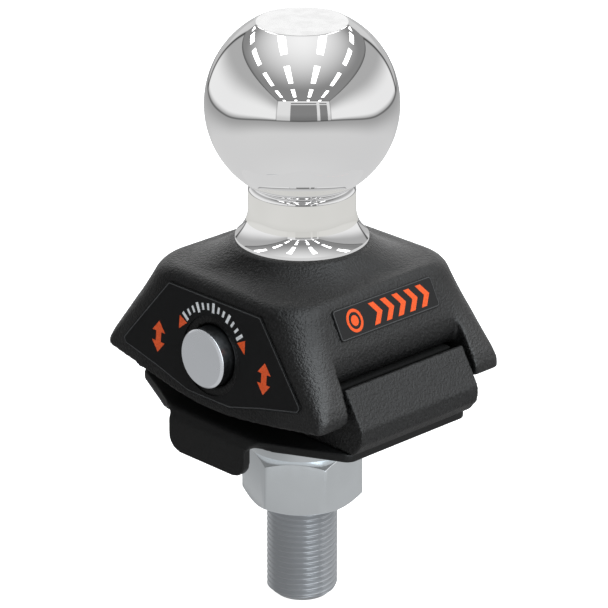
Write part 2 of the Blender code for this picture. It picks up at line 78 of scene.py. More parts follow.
# --- sizes shared with the CAD model -------------------------------------------
BALL_R, BALL_Z, TOP_FLAT_R = 25.4, 82.4, 12.4
NECK_R, FLARE_R, FLARE_Z, FLARE_SWEEP_R = 14.2, 17.6, 45.6, 10.3
BALL_STUD_R, BALL_STUD_Z = 8.0, 36.0
SHANK_R, SHANK_LEN, SHANK_TOP, SHANK_CHAMFER = 9.525, 56.6, 11.2, 2.2
PITCH = 1.5875
PIN_R, PIN_HALF, PIN_Z = 7.94, 36.4, 21.4
BUSH_R, GAP = 9.3, 0.3
BASE_HALF_Y, BARREL_R, BASE_BOTTOM = 21.6, 13.4, 2.7
PLATE_T, PLATE_X, PLATE_Y, TAB_BOTTOM = 2.4, 39.7, 34.1, -9.2
PLATE_CORNER_Y, PLATE_RAKE, TAB_NEAR, TAB_FAR = 21.2, 0.507, 13.5, 15.5
DOWEL_X, DOWEL_R = 28.0, 3.0
SIDE_Y, SIDE_DRAFT, INNER_Y = 32.6, 0.0875, 22.8
END_X, END_Z, END_SLOPE = 33.1, 30.2, 0.53
PLATEAU_Z, BOSS_R, BOSS_Z, LIP_Z = 40.2, 18.2, 45.3, 19.5
NUT_FLATS, NUT_TOP, NUT_H = 28.3, -12.6, 16.1
NUT_TURN = math.radians(-21.7)
WASHER_R, WASHER_T = 15.2, 3.7

# the plate's underside in the row frame, found from the nut's lower face
PLATE_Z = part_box("hex_nut")[0].z / MM - (NUT_TOP - NUT_H)


def to_row(x, y, z):
    return Vector((x, y, z + PLATE_Z)) * MM


def side_face_y(z):
    """The housing's drafted side face."""
    return SIDE_Y + (PIN_Z - z) * SIDE_DRAFT


def end_face_x(z):
    """The housing's sloping upper end face."""
    return END_X - (z - END_Z) * END_SLOPE


# --- outlines --------------------------------------------------------------------
def polar(radius, angle):
    return radius * math.cos(angle), radius * math.sin(angle)


def between(start, end, t):
    return start + (end - start) * t


def around(count):
    """Each index of a closed loop with the one after it."""
    return [(k, (k + 1) % count) for k in range(count)]


def arc(centre_x, centre_y, radius, start, end, steps):
    """Points on an arc, with its angles in degrees."""
    points = []
    for k in range(steps + 1):
        x, y = polar(radius, math.radians(start + (end - start) * k / steps))
        points.append((centre_x + x, centre_y + y))
    return points


def mirrored(half):
    return list(half) + [(-x, *rest) for x, *rest in reversed(half) if x > 1e-9]


def filleted(corners, steps=10):
    """Rounds the corners of an outline given as (x, y, radius)."""
    out = []
    for k, (x, y, radius) in enumerate(corners):
        here = Vector((x, y))
        if radius <= 0:
            out.append((x, y))
            continue
        before = (Vector(corners[k - 1][:2]) - here).normalized()
        after = (Vector(corners[(k + 1) % len(corners)][:2]) - here).normalized()
        half = before.angle(after) / 2
        reach = radius / math.tan(half)
        centre = here + (before + after).normalized() * radius / math.sin(half)
        first, last = here + before * reach - centre, here + after * reach - centre
        turn = first.angle_signed(last)
        for j in range(steps + 1):
            spun = first.copy()
            spun.rotate(Matrix.Rotation(-turn * j / steps, 2))
            out.append(tuple(centre + spun))
    return out


def inset(outline, distance):
    """A convex outline moved inwards."""
    count = len(outline)
    middle = Vector((sum(p[0] for p in outline) / count, sum(p[1] for p in outline) / count))
    out = []
    for k, n in around(count):
        here = Vector(outline[k])
        normals = []
        for edge in (here - Vector(outline[k - 1]), Vector(outline[n]) - here):
            edge.normalize()
            normal = Vector((-edge.y, edge.x))
            normals.append(-normal if normal.dot(middle - here) < 0 else normal)
        inward = (normals[0] + normals[1]).normalized()
        out.append(tuple(here + inward * distance / max(0.4, inward.dot(normals[0]))))
    return out


# --- mesh helpers ------------------------------------------------------------------
def bridge(mesh, ring, other):
    for k, n in around(len(ring)):
        mesh.faces.new((ring[k], ring[n], other[n], other[k]))


def lathe(profile, steps=160, along="Z", centre=(0, 0, 0), closed=False):
    """Turns a profile of (radius, height) about the z or y axis."""
    mesh = bmesh.new()
    rings = []
    for radius, height in profile:
        ring = []
        for k in range(1 if radius == 0 else steps):
            x, y = polar(radius, 2 * math.pi * k / steps)
            point = (x, y, height) if along == "Z" else (x, height, y)
            ring.append(mesh.verts.new(Vector(point) + Vector(centre)))
        rings.append(ring)
    pairs = list(zip(rings, rings[1:])) + ([(rings[-1], rings[0])] if closed else [])
    for ring, other in pairs:
        if len(ring) == 1:
            for k, n in around(steps):
                mesh.faces.new((ring[0], other[n], other[k]))
        elif len(other) == 1:
            for k, n in around(steps):
                mesh.faces.new((ring[k], ring[n], other[0]))
        else:
            bridge(mesh, ring, other)
    return mesh


def rod(radius, low, high, steps=96, **placing):
    return lathe([(0, low), (radius, low), (radius, high), (0, high)], steps, **placing)


def prism(outline, low, high, along="Z"):
    mesh = bmesh.new()

    def ring(height):
        points = [(x, y, height) if along == "Z" else (x, height, y) for x, y in outline]
        return [mesh.verts.new(point) for point in points]

    first, last = ring(low), ring(high)
    mesh.faces.new(first)
    mesh.faces.new(list(reversed(last)))
    bridge(mesh, first, last)
    return mesh


def shade(ob, sharp):
    """Smooth shading, broken at edges over the given degrees."""
    ob.data.shade_smooth()
    ob.data.set_sharp_from_angle(angle=math.radians(sharp))


def add_object(name, mesh, mat=None, sharp=30.0):
    """Moves a mesh drawn in millimetres to the row frame and makes it an object."""
    for v in mesh.verts:
        v.co = to_row(*v.co)
    bmesh.ops.recalc_face_normals(mesh, faces=mesh.faces)
    data = bpy.data.meshes.new(name)
    mesh.to_mesh(data)
    mesh.free()
    ob = bpy.data.objects.new(name, data)
    shade(ob, sharp)
    if mat:
        data.materials.append(mat)
    bpy.context.scene.collection.objects.link(ob)
    return ob


def cutter(mesh):
    return add_object("cutter", mesh)


def settle(ob):
    """Replaces the object's mesh with what its modifiers make of it."""
    graph = bpy.context.evaluated_depsgraph_get()
    graph.update()
    data = bpy.data.meshes.new_from_object(ob.evaluated_get(graph))
    old = ob.data
    ob.modifiers.clear()
    ob.data = data
    bpy.data.meshes.remove(old)


def cut(ob, *cutters, operation="DIFFERENCE"):
    for tool in cutters:
        mod = ob.modifiers.new("cut", "BOOLEAN")
        mod.operation, mod.solver, mod.object = operation, "EXACT", tool
    settle(ob)
    for tool in cutters:
        bpy.data.objects.remove(tool, do_unlink=True)


def soften(ob, voxel, rounds):
    """Rounds every edge of a solid evenly: a fine remesh, then smoothing."""
    remesh = ob.modifiers.new("remesh", "REMESH")
    remesh.mode, remesh.voxel_size, remesh.use_smooth_shade = "VOXEL", voxel * MM, True
    smooth = ob.modifiers.new("smooth", "SMOOTH")
    smooth.factor, smooth.iterations = 0.5, rounds
    settle(ob)
    ob.data.shade_smooth()


def rounded(ob, width):
    """A small round on every hard edge of a machined piece, keeping its faces flat."""
    bevel = ob.modifiers.new("round", "BEVEL")
    bevel.width, bevel.segments = width * MM, 3
    bevel.limit_method, bevel.angle_limit = "ANGLE", math.radians(22)
    bevel.use_clamp_overlap = True
    bevel.harden_normals = True
    settle(ob)
    shade(ob, sharp=40)


def cast_skin(ob, amount, size, seed=0.0):
    """Moves the surface inwards by a fine noise, as a sand casting's skin."""
    data = ob.data
    places = np.empty(len(data.vertices) * 3, np.float32)
    data.vertices.foreach_get("co", places)
    places = places.reshape(-1, 3)
    normals = np.array([v.normal for v in data.vertices], np.float32)
    for k in range(len(places)):
        point = Vector(places[k]) / (size * MM) + Vector((seed, seed, seed))
        height = 0.65 * noise.noise(point) + 0.35 * noise.noise(point * 2.3)
        places[k] -= normals[k] * (amount * MM * (0.5 + 0.5 * height))
    data.vertices.foreach_set("co", places.ravel())
    data.update()


def wear(ob, mat):
    """Gives the whole piece one material."""
    ob.data.materials.clear()
    ob.data.materials.append(mat)


def paint(ob, mat, chosen):
    """Adds a material for the faces whose centres pass the test."""
    ob.data.materials.append(mat)
    for face in ob.data.polygons:
        if chosen(face.center):
            face.material_index = len(ob.data.materials) - 1


def fit(ob, piece, group):
    """Puts the object in place of a CAD piece, in its moving group."""
    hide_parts(piece)
    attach(ob, group)


# --- node helpers --------------------------------------------------------------------
class Value:
    """A shader value: arithmetic on it makes Math nodes."""

    def __init__(self, nodes, socket):
        self.math, self.socket = nodes.math, socket

    def __add__(self, other):
        return self.math("ADD", self, other)

    def __sub__(self, other):
        return self.math("SUBTRACT", self, other)

    def __rsub__(self, other):
        return self.math("SUBTRACT", other, self)

    def __mul__(self, other):
        return self.math("MULTIPLY", self, other)

    def __truediv__(self, other):
        return self.math("DIVIDE", self, other)

    def __rtruediv__(self, other):
        return self.math("DIVIDE", other, self)

    def __gt__(self, other):
        return self.math("GREATER_THAN", self, other)

    def __lt__(self, other):
        return self.math("LESS_THAN", self, other)

    def __abs__(self):
        return self.math("ABSOLUTE", self)


class Nodes:
    """A short way to write node trees."""

    def __init__(self, tree):
        self.tree = tree

    def new(self, kind, **settings):
        node = self.tree.nodes.new(kind)
        for name, setting in settings.items():
            setattr(node, name, setting)
        return node

    def put(self, socket, value):
        """Links a socket or Value to an input, or sets it to a plain value."""
        if isinstance(value, Value):
            value = value.socket
        if isinstance(value, bpy.types.NodeSocket):
            self.tree.links.new(value, socket)
        else:
            socket.default_value = value

    def math(self, operation, first, second=0.0, third=None):
        node = self.new("ShaderNodeMath", operation=operation)
        self.put(node.inputs[0], first)
        self.put(node.inputs[1], second)
        if third is not None:
            self.put(node.inputs[2], third)
        return Value(self, node.outputs[0])

    def choose(self, test, yes, no):
        return self.math("MULTIPLY_ADD", test, yes - no, no)

    def dot(self, vector, axis):
        node = self.new("ShaderNodeVectorMath", operation="DOT_PRODUCT")
        self.put(node.inputs[0], vector)
        node.inputs[1].default_value = axis
        return Value(self, node.outputs["Value"])

    def span(self, value, over=(0.3, 0.7), gives=(0.0, 1.0)):
        """Eases from one output to the other as the value crosses a range."""
        node = self.new("ShaderNodeMapRange", interpolation_type="SMOOTHSTEP")
        self.put(node.inputs["Value"], value)
        for name, limit in zip(("From Min", "From Max", "To Min", "To Max"), (*over, *gives)):
            self.put(node.inputs[name], limit)
        return Value(self, node.outputs["Result"])

    def ramp(self, value, dark, light, over=(0.3, 0.7)):
        node = self.new("ShaderNodeValToRGB")
        for element, place, colour in zip(node.color_ramp.elements, over, (dark, light)):
            element.position, element.color = place, (*colour, 1.0)
        self.put(node.inputs["Fac"], value)
        return node.outputs["Color"]

    def emission(self, colour=(1, 1, 1, 1), strength=1.0):
        node = self.new("ShaderNodeEmission")
        self.put(node.inputs["Color"], colour)
        self.put(node.inputs["Strength"], strength)
        return node.outputs[0]

    def mix(self, factor, first, second):
        node = self.new("ShaderNodeMixShader")
        for socket, value in zip(node.inputs, (factor, first, second)):
            self.put(socket, value)
        return node.outputs[0]


class Surface(Nodes):
    """A new material, with noise and bumps laid out in object space."""

    def __init__(self, name):
        self.material = bpy.data.materials.new(name)
        self.material.use_nodes = True
        super().__init__(self.material.node_tree)
        self.bsdf = self.tree.nodes["Principled BSDF"]
        self.place = self.new("ShaderNodeTexCoord").outputs["Object"]

    def noise(self, scale, detail=2, rough=0.5):
        node = self.new("ShaderNodeTexNoise")
        settings = {"Vector": self.place, "Scale": scale, "Detail": detail, "Roughness": rough}
        for name, value in settings.items():
            self.put(node.inputs[name], value)
        return Value(self, node.outputs["Fac"])

    def axes(self):
        node = self.new("ShaderNodeSeparateXYZ")
        self.put(node.inputs[0], self.place)
        return [Value(self, socket) for socket in node.outputs]

    def fill(self, settings):
        for name, value in settings.items():
            self.put(self.bsdf.inputs[name], value)

    def bump(self, *layers):
        """Stacks bump layers of (height, depth in metres)."""
        last = None
        for height, depth in layers:
            node = self.new("ShaderNodeBump")
            node.inputs["Strength"].default_value = 1.0
            node.inputs["Distance"].default_value = depth
            self.put(node.inputs["Height"], height)
            if last:
                self.put(node.inputs["Normal"], last)
            last = node.outputs["Normal"]
        self.put(self.bsdf.inputs["Normal"], last)

    def show(self, shader):
        self.put(self.tree.nodes["Material Output"].inputs["Surface"], shader)

    def pale_in_mirrors(self):
        """The polished ball mirrors a pale glow in place of the parts under it."""
        glow = self.emission(strength=0.74)
        path = self.new("ShaderNodeLightPath")
        share = self.math("MULTIPLY", path.outputs["Is Singular Ray"], 0.92)
        self.show(self.mix(share, self.bsdf.outputs[0], glow))
        return self.material


# --- materials ---------------------------------------------------------------------
def grey(level):
    return (level, level, level)


def cast_black(name, rough, grain, tone, dull, polish):
    """Grainy black coat; dull and polish are its specular levels inside and at the corners."""
    look = Surface(name)
    fine = look.noise(scale=3000, rough=0.6)
    middle = look.noise(scale=1450, rough=0.55)
    wide = look.noise(scale=60, detail=3)
    broad_rough = look.span(wide, gives=(rough - 0.03, rough + 0.04))
    # the outer upright corners are glossier
    x, y, _ = look.axes()
    look.fill({
        "Base Color": look.ramp(
            middle, dark=grey(tone * 0.6), light=grey(tone * 1.7), over=(0.35, 0.68)
        ),
        "Roughness": broad_rough + look.span(middle, gives=(-0.06, 0.06)),
        "Specular IOR Level": look.span(abs(x) + abs(y), over=(0.050, 0.068), gives=(dull, polish)),
    })
    look.bump((middle, 0.00026 * grain), (fine, 0.00008 * grain))
    return look.pale_in_mirrors()


def sheet_black(name):
    look = Surface(name)
    fine = look.noise(scale=2600)
    wide = look.noise(scale=45, detail=3)
    look.fill({
        "Base Color": look.ramp(fine, dark=grey(0.005), light=grey(0.010)),
        "Roughness": look.span(wide, gives=(0.40, 0.50)),
        "Specular IOR Level": 0.40,
    })
    look.bump((fine, 0.00004))
    return look.pale_in_mirrors()


def chrome():
    look = Surface("chrome_polished")
    haze = look.noise(scale=35)
    look.fill({
        "Base Color": look.ramp(haze, dark=(0.905, 0.905, 0.91), light=grey(0.935)),
        "Metallic": 1.0,
        "Roughness": 0.0,
    })
    return look.material


def chrome_neck():
    """The plated neck, softly bright all round through a painted glow mixed into the chrome."""
    look = Surface("chrome_neck_painted_glow")
    haze = look.noise(scale=60)
    look.fill({
        "Base Color": look.ramp(haze, dark=grey(0.88), light=grey(0.92)),
        "Metallic": 1.0,
        "Roughness": 0.0,
    })
    # painted glow: emission mixed into the chrome, its share set by how squarely the surface faces the
    # camera
    glow = look.emission(look.ramp(haze, dark=(0.655, 0.65, 0.62), light=(0.69, 0.685, 0.66)))
    edge = look.new("ShaderNodeLayerWeight")
    edge.inputs["Blend"].default_value = 0.35
    glow_share = look.span(edge.outputs["Facing"], over=(0.55, 1.0), gives=(0.88, 0.35))
    look.show(look.mix(glow_share, look.bsdf.outputs[0], glow))
    return look.material


def chrome_face():
    """The ball's flat top: a turned face, still plated but less sharp."""
    ring_pitch = 0.00045  # metres between turning marks
    look = Surface("chrome_turned_face")
    x, y, _ = look.axes()
    radius = look.math("SQRT", x * x + y * y)
    rings = look.math("SINE", radius * (2 * math.pi / ring_pitch))
    mottle = look.noise(scale=260, detail=3)
    look.fill({
        "Base Color": look.ramp(mottle, dark=grey(0.735), light=grey(0.805), over=(0.38, 0.56)),
        "Metallic": 1.0,
        "Roughness": look.span(mottle, gives=(0.10, 0.15)),
    })
    look.bump((rings, 0.000001), (mottle, 0.000004))
    return look.material


def zinc(name, tone, rough, glow):
    """Bright zinc plate, faintly blue, with a soft mottle; glow is painted light, an emission that
    brightens the metal.
    """
    look = Surface(name)
    cloud = look.noise(scale=160, detail=3)
    fine = look.noise(scale=1800)
    cloud_rough = look.span(cloud, gives=(rough - 0.02, rough + 0.03))
    look.fill({
        "Base Color": look.ramp(cloud, dark=tuple(c * 0.95 for c in tone), light=tone),
        "Metallic": 1.0,
        "Roughness": cloud_rough + look.span(fine, gives=(-0.02, 0.02)),
        # painted light: the plated metal glows in its own tone
        "Emission Color": (*tone, 1),
        "Emission Strength": glow,
    })
    look.bump((cloud, 0.000003), (fine, 0.000002))
    return look.material


def pin_side_painted_dark():
    """The pin's round side: polished metal given a dark colour, a painted reflection of the dark parts
    around it.
    """
    look = Surface("pin_rim_painted_dark_reflection")
    fine = look.noise(scale=1200)
    # the dark metal tone is a painted reflection of the black housing
    look.fill({
        "Base Color": look.ramp(fine, dark=(0.17, 0.175, 0.182), light=(0.20, 0.207, 0.215)),
        "Metallic": 1.0,
        "Roughness": look.span(fine, gives=(0.28, 0.34)),
    })
    return look.pale_in_mirrors()


def vinyl(name, tone, rough, specular):
    look = Surface(name)
    fine = look.noise(scale=2400)
    dark, light = (tuple(c * factor for c in tone) for factor in (0.88, 1.15))
    look.fill({
        "Base Color": look.ramp(fine, dark=dark, light=light),
        "Roughness": look.span(fine, gives=(rough - 0.03, rough + 0.04)),
        "Specular IOR Level": specular,
    })
    look.bump((fine, 0.000008))
    return look.pale_in_mirrors()


def rubber():
    look = Surface("rubber_moulded")
    fine = look.noise(scale=1500, detail=3, rough=0.6)
    look.fill({
        "Base Color": look.ramp(fine, dark=grey(0.003), light=grey(0.007)),
        "Roughness": look.span(fine, gives=(0.75, 0.9)),
        "Specular IOR Level": 0.2,
    })
    look.bump((fine, 0.00005))
    return look.material


def bronze():
    look = Surface("bronze_sintered")
    fine = look.noise(scale=2200, detail=3, rough=0.6)
    look.fill({
        "Base Color": look.ramp(fine, dark=(0.36, 0.22, 0.09), light=(0.55, 0.36, 0.16)),
        "Metallic": 1.0,
        "Roughness": look.span(fine, gives=(0.35, 0.5)),
    })
    look.bump((fine, 0.00002))
    return look.material


CHROME, CHROME_FACE, CHROME_NECK = chrome(), chrome_face(), chrome_neck()
CAST = cast_black("cast_black_coat", rough=0.37, grain=1.0, tone=0.007, dull=0.46, polish=0.74)
CAST_BASE = cast_black(
    "cast_black_coat_base", rough=0.43, grain=1.4, tone=0.008, dull=0.52, polish=0.52
)
SHEET = sheet_black("sheet_black_coat")
# the last figure of each zinc is its glow: painted light that brightens the piece
ZINC = zinc("zinc_bright", tone=(0.74, 0.775, 0.80), rough=0.22, glow=0.22)
ZINC_STUD = zinc("zinc_thread", tone=(0.28, 0.292, 0.306), rough=0.42, glow=0.40)
ZINC_PIN = zinc("zinc_pin", tone=(0.74, 0.765, 0.80), rough=0.24, glow=0.32)
PIN_SIDE_PAINTED_DARK = pin_side_painted_dark()
VINYL = vinyl("label_satin_black", tone=(0.0072, 0.0072, 0.0075), rough=0.36, specular=0.25)
ORANGE = vinyl("label_orange", tone=(0.74, 0.088, 0.014), rough=0.45, specular=0.25)
PALE = vinyl("label_pale", tone=(0.68, 0.69, 0.70), rough=0.45, specular=0.25)
LINE = vinyl("label_line", tone=(0.052, 0.053, 0.054), rough=0.40, specular=0.3)
RUBBER, BRONZE = rubber(), bronze()


# --- hitch ball -----------------------------------------------------------------------
STUD_CHAMFER = 0.8
FLARE_ROUND, FLARE_RIM = 0.3, 0.9  # edge radius, height of the flare's upright rim
SHOULDER_R, SHOULDER_Z = 2.3, 59.0  # the round where the neck meets the ball
TOP_EDGE, TOP_RISE = 0.5, 0.12
NECK_BAND = (50.9, 59.25)  # heights wearing the neck's chrome with its painted glow


def ball_profile():
    points = [(0, BALL_STUD_Z), (BALL_STUD_R - STUD_CHAMFER, BALL_STUD_Z)]
    points += [(BALL_STUD_R, BALL_STUD_Z + STUD_CHAMFER), (BALL_STUD_R, FLARE_Z)]
    points.append((FLARE_R - FLARE_ROUND, FLARE_Z))
    points += arc(FLARE_R - FLARE_ROUND, FLARE_Z + FLARE_ROUND, FLARE_ROUND, -60, 0, 3)
    points.append((FLARE_R, FLARE_Z + FLARE_RIM))
    sweep = math.acos(1 - (FLARE_R - NECK_R) / FLARE_SWEEP_R)
    sweep_top = FLARE_Z + FLARE_RIM + FLARE_SWEEP_R * math.sin(sweep)
    for k in range(1, 25):
        a = sweep * (1 - k / 24)
        radius = NECK_R + FLARE_SWEEP_R * (1 - math.cos(a))
        points.append((radius, sweep_top - FLARE_SWEEP_R * math.sin(a)))
    # the shoulder turns until it touches the ball
    meet = 0.0
    while meet < 85.0:
        x, z = polar(SHOULDER_R, math.radians(meet))
        if math.hypot(NECK_R - SHOULDER_R + x, SHOULDER_Z + z - BALL_Z) <= BALL_R:
            break
        meet += 0.25
    points += arc(NECK_R - SHOULDER_R, SHOULDER_Z, SHOULDER_R, 0, meet, 24)
    start = math.atan2(points[-1][1] - BALL_Z, points[-1][0]) + 0.004
    end = math.acos(TOP_FLAT_R / BALL_R)
    for k in range(129):
        x, z = polar(BALL_R, start + (end - start) * k / 128)
        points.append((x, BALL_Z + z))
    top = BALL_Z + BALL_R * math.sin(end)
    for k in range(1, 5):
        rise = TOP_RISE * math.sin(math.radians(90 * k / 4))
        points.append((TOP_FLAT_R - TOP_EDGE * k / 4, top + rise))
    return points + [(radius, top + TOP_RISE) for radius in (8.0, 4.0, 0)]


ball = add_object("ball_skin", lathe(ball_profile(), 192), CHROME, sharp=40)
face_low = to_row(0, 0, BALL_Z + 21.0).z
face_radius = (TOP_FLAT_R - 0.45) * MM
paint(ball, CHROME_FACE, lambda c: c.z > face_low and math.hypot(c.x, c.y) < face_radius)
neck_low, neck_high = (to_row(0, 0, z).z for z in NECK_BAND)
# the neck band wears the chrome with a painted glow
paint(ball, CHROME_NECK, lambda c: neck_low < c.z < neck_high)
fit(ball, "hitch_ball", "rocker")


# --- rocker housing ---------------------------------------------------------------------
CORNER_STEPS, SIDE_STEPS = 20, 20
OPEN_X, OPEN_Z = 60.0, -9.0  # where the cutters end, clear of the casting
BARREL_GAP = 0.7
TOP_ROUND = 4.2  # radius between the side faces and the plateau
# height, half length in x, radius of the upright corners
HOUSING_LEVELS = [
    (3.0, 41.2, 3.0),
    (14.4, 41.2, 3.0),
    (17.0, 40.4, 4.2),
    (21.3, 38.2, 6.2),
    (27.0, 34.9, 8.0),
    (END_Z, END_X, 9.3),
    (33.4, end_face_x(33.4), 10.2),
]
# half lengths in x, evenly up the top round
TOP_ROUND_ENDS = (30.0, 29.15, 28.3, 27.5, 26.3)
# (x, z) up the right-hand inner end of the housing
SLOT_END = [
    (33.05, 19.6), (33.4, 19.9), (33.8, 20.3), (34.1, 20.8), (34.45, 21.5), (34.7, 22.3),
    (34.85, 23.2), (34.9, 24.2), (34.85, 25.3), (34.7, 26.3), (34.5, 27.2), (34.2, 28.0),
    (33.85, 28.75), (33.45, 29.4),
]
# (x, z) along the lower edge of the side walls, right to left
LOWER_EDGE = [
    (33.0, 10.4), (25.0, 9.0), (18.0, 8.0), (12.0, 7.2), (6.0, 6.7), (0.0, 6.6),
    (-6.0, 6.9), (-12.0, 7.7), (-18.0, 8.9), (-24.0, 10.05), (-33.0, 11.7),
]


def section(half_x, half_y, radius):
    """A rounded rectangle, and the angle at which each point joins the round boss."""
    corner, angle = [], []
    for q, (sign_x, sign_y) in enumerate(((1, 1), (-1, 1), (-1, -1), (1, -1))):
        for j in range(CORNER_STEPS + 1):
            x, y = polar(radius, math.radians(90 * q + 90 * j / CORNER_STEPS))
            corner.append((sign_x * (half_x - radius) + x, sign_y * (half_y - radius) + y))
            # a corner takes six sevenths of its quarter of the boss
            angle.append(math.radians(90 * q + 45 + (j / CORNER_STEPS - 0.5) * 90 * 6 / 7))
    points, angles = [], []
    for k, n in around(len(corner)):
        points.append(corner[k])
        angles.append(angle[k])
        if k % (CORNER_STEPS + 1) == CORNER_STEPS:
            next_angle = angle[n] + (2 * math.pi if n == 0 else 0)
            for j in range(1, SIDE_STEPS):
                t = j / SIDE_STEPS
                points.append(tuple(between(corner[k][i], corner[n][i], t) for i in (0, 1)))
                angles.append(between(angle[k], next_angle, t))
    return points, angles


def look_up(table, z):
    """Linear between rows of (z, value...)."""
    for (low, *below), (high, *above) in zip(table, table[1:]):
        if z <= high:
            t = (z - low) / (high - low)
            return [between(a, b, t) for a, b in zip(below, above)]
    return list(table[-1][1:])


def housing_mesh():
    levels = []
    low, high = HOUSING_LEVELS[0][0], HOUSING_LEVELS[-1][0]
    for k in range(33):
        z = low + (high - low) * k / 32
        half_x, radius = look_up(HOUSING_LEVELS, z)
        levels.append((z, half_x, side_face_y(z), radius))
    round_z = PLATEAU_Z - TOP_ROUND
    for k in range(13):
        a = math.radians(90 * k / 12)
        along = 4 * k / 12
        i = min(3, int(along))
        half_x = between(TOP_ROUND_ENDS[i], TOP_ROUND_ENDS[i + 1], along - i)
        half_y = side_face_y(round_z) - TOP_ROUND * (1 - math.cos(a))
        levels.append((round_z + TOP_ROUND * math.sin(a), half_x, half_y, 10.8 + 0.1 * along))
    mesh = bmesh.new()
    rings = []
    for z, half_x, half_y, radius in levels:
        edge, angles = section(half_x, half_y, radius)
        rings.append([mesh.verts.new((x, y, z)) for x, y in edge])
    # the plateau runs in and sweeps up to the round boss
    for k in range(1, 21):
        t = k / 20
        z = PLATEAU_Z + 0.3 * t + (BOSS_Z - PLATEAU_Z - 0.5) * t**2.4
        ring = []
        for (x, y), a in zip(edge, angles):
            boss_x, boss_y = polar(BOSS_R + 0.3, a)
            ring.append(mesh.verts.new((between(x, boss_x, t), between(y, boss_y, t), z)))
        rings.append(ring)
    rings.append([mesh.verts.new((*polar(BOSS_R, a), BOSS_Z)) for a in angles])
    for ring, above in zip(rings, rings[1:]):
        bridge(mesh, ring, above)
    mesh.faces.new(list(reversed(rings[0])))
    mesh.faces.new(rings[-1])
    return mesh


def cavity():
    """The hollow between the side walls."""
    half = [(0.0, PIN_Z + BARREL_R + BARREL_GAP)]
    half += arc(0, PIN_Z, BARREL_R + BARREL_GAP, 84, 66, 8)
    half += [(22.6, 33.2), (24.2, 32.0), (31.2, 21.6), (31.2, LIP_Z), (OPEN_X, LIP_Z)]
    half += [(OPEN_X, OPEN_Z), (0.0, OPEN_Z)]
    return prism(mirrored(half), -INNER_Y, INNER_Y, "Y")


def drafted_slot():
    """Opens the ends, its sides leaning with the housing's draft."""
    half = [(0.0, LIP_Z - 0.05), (32.6, LIP_Z - 0.05), *SLOT_END]
    half += [(OPEN_X, SLOT_END[-1][1]), (OPEN_X, OPEN_Z), (0.0, OPEN_Z)]
    mesh = prism(mirrored(half), -1, 1, "Y")
    for v in mesh.verts:
        v.co.y *= INNER_Y + (PIN_Z - v.co.z) * SIDE_DRAFT
    return mesh


def underside():
    """Trims the side walls to their curved lower edge."""
    shelf_x, shelf_z = 41.9, 16.6
    points = [(OPEN_X, OPEN_Z), (OPEN_X, shelf_z), (shelf_x, shelf_z)]
    points += arc(39.7, 12.8, 1.55, 0, -82, 10)
    points += LOWER_EDGE
    points += arc(-38.3, 15.8, 2.95, 270, 182, 12)
    points += [(-shelf_x, shelf_z), (-OPEN_X, shelf_z), (-OPEN_X, OPEN_Z)]
    return prism(points, -45, 45, "Y")


def pin_hole(radius, low, high, steps=96):
    return cutter(rod(radius, low, high, steps, along="Y", centre=(0, 0, PIN_Z)))


housing = add_object("housing_skin", housing_mesh(), CAST)
cut(housing, cutter(cavity()), cutter(underside()), cutter(drafted_slot()))
cut(housing, pin_hole(PIN_R + GAP, -50, 50), cutter(rod(BALL_STUD_R + GAP, 30, 60)))
soften(housing, voxel=0.5, rounds=6)
cast_skin(housing, amount=0.07, size=1.3)
wear(housing, CAST)
fit(housing, "rocker_housing", "rocker")


# --- base casting --------------------------------------------------------------------------
POCKET_Z = 8.5
# (x, z, corner radius) of the right half, up to the foot of the barrel
BASE_HALF = [
    (0.0, BASE_BOTTOM, 0),
    (41.0, BASE_BOTTOM, 0.6),
    (44.0, 6.2, 2.0),
    (44.0, 10.3, 0.6),
    (38.1, 20.15, 0.7),
    (37.0, 19.8, 0.5),
    (33.9, 16.4, 0.5),
    (33.9, POCKET_Z, 1.0),
    (BARREL_R, POCKET_Z, 1.0),
    (BARREL_R, PIN_Z, 0),
]


def dowel_holes(high):
    return [
        cutter(rod(DOWEL_R + GAP, -5, high, 48, centre=(sign * DOWEL_X, 0, 0)))
        for sign in (-1, 1)
    ]


base_outline = mirrored(filleted(BASE_HALF) + arc(0, PIN_Z, BARREL_R, 0, 90, 24)[1:])
base = add_object("base_skin", prism(base_outline, -BASE_HALF_Y, BASE_HALF_Y, "Y"), CAST_BASE)
cut(base, pin_hole(BUSH_R + GAP, -40, 40), cutter(rod(SHANK_R + GAP, -5, 16)))
cut(base, *dowel_holes(6.6))
soften(base, voxel=0.5, rounds=3)
cast_skin(base, amount=0.10, size=1.1, seed=7.0)
wear(base, CAST_BASE)
fit(base, "base_casting", "base")


# --- anti-rotation plate --------------------------------------------------------------------
BEND_R, TAB_CORNER_R, PLATE_CORNER_R = 3.2, 4.6, 3.4
BEND_Y = PLATE_Y - BEND_R  # where the tabs start to bend down


def raked_x(y):
    """Half width of the plate past its corners."""
    return PLATE_X - (y - PLATE_CORNER_Y) / PLATE_RAKE


def tab_stations():
    """Down a tab: outer y, outer z, inner y, inner z, and the reach to each side."""
    tab = (TAB_FAR, TAB_NEAR)
    inner_r = BEND_R - PLATE_T
    stations = []
    for k in range(1, 13):
        a = math.radians(7.5 * k)
        outer_y = BEND_Y + BEND_R * math.sin(a)
        outer_z = PLATE_T - BEND_R * (1 - math.cos(a))
        inner_y, inner_z = BEND_Y + inner_r * math.sin(a), -inner_r * (1 - math.cos(a))
        reach = tab if k == 12 else [max(side, raked_x(outer_y)) for side in tab]
        stations.append((outer_y, outer_z, inner_y, inner_z, reach))
    for k in range(13):
        a = math.radians(7.5 * k)
        z = TAB_BOTTOM + TAB_CORNER_R * (1 - math.sin(a))
        reach = [side - TAB_CORNER_R * (1 - math.cos(a)) for side in tab]
        stations.append((PLATE_Y, z, PLATE_Y - PLATE_T, z, reach))
    return stations


